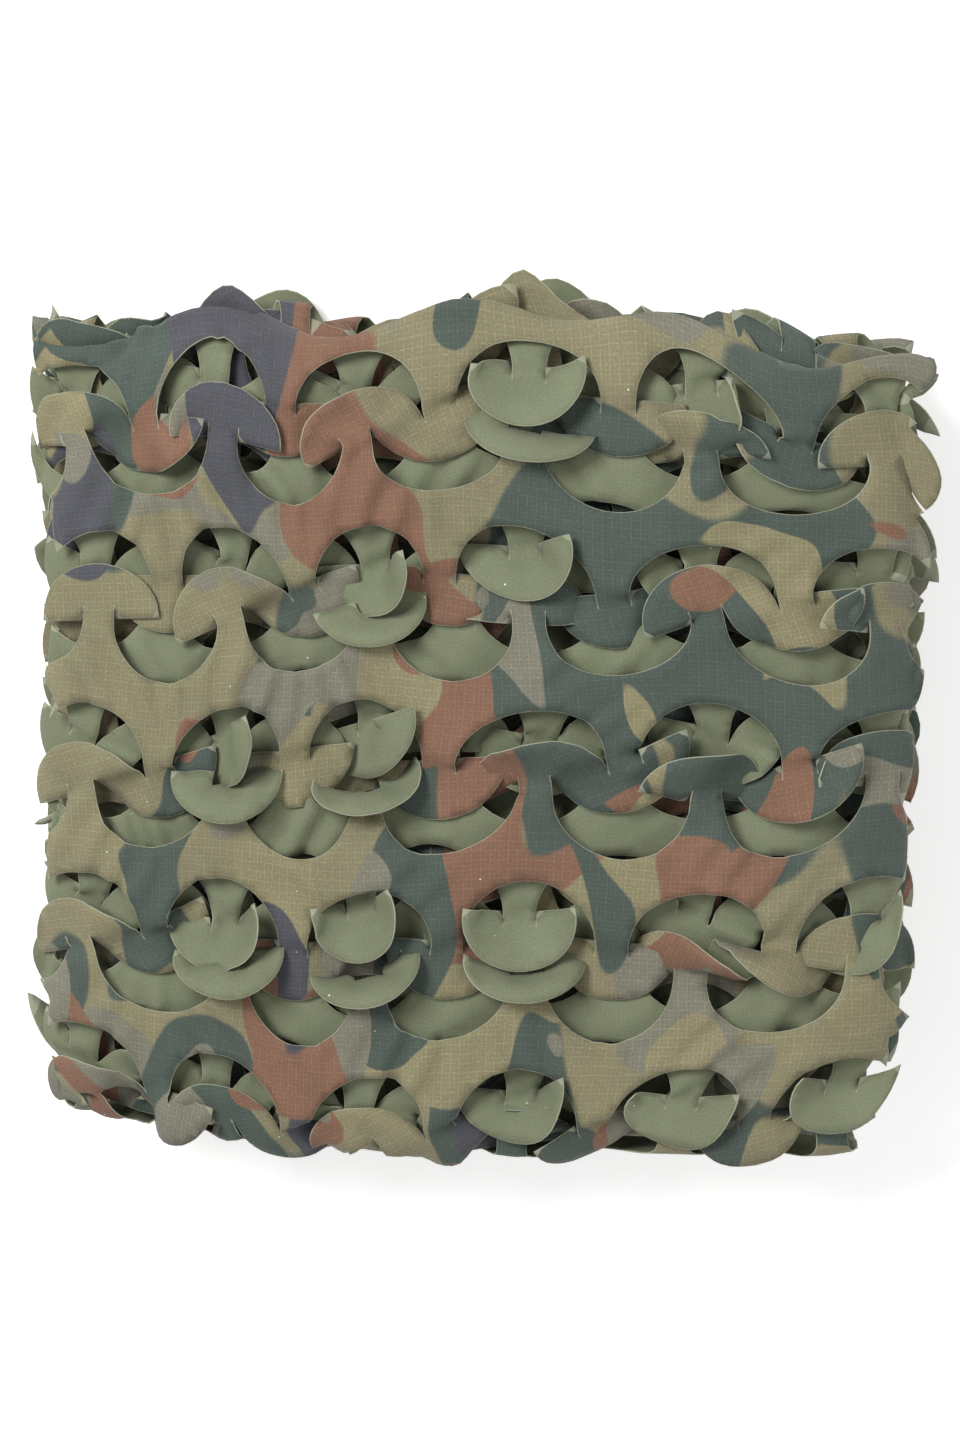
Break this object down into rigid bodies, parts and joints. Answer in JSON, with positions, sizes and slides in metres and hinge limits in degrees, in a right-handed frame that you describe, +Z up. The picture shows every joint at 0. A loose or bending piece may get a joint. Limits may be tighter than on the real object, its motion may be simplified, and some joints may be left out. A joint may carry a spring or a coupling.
{
  "type": "camouflage net",
  "caption": "Camouflage net of leaf-cut woodland-printed ripstop cloth with a plain green back, folded back and forth into a flat square bundle.",
  "frame": {"origin": "centre of the folded bundle's outline, on the surface it lies on", "axes": "+Z up out of the printed face, X along the folds and the longer side, Y across the folds"},
  "size_m": [0.335, 0.3145, 0.0962],
  "materials": {
    "printed_cloth": "matte woodland-printed ripstop cloth with pale frayed cut edges, plain sage green on the back"
  },
  "bodies": {
    "root": {"camo_net": "printed_cloth"}
  },
  "joints": []
}
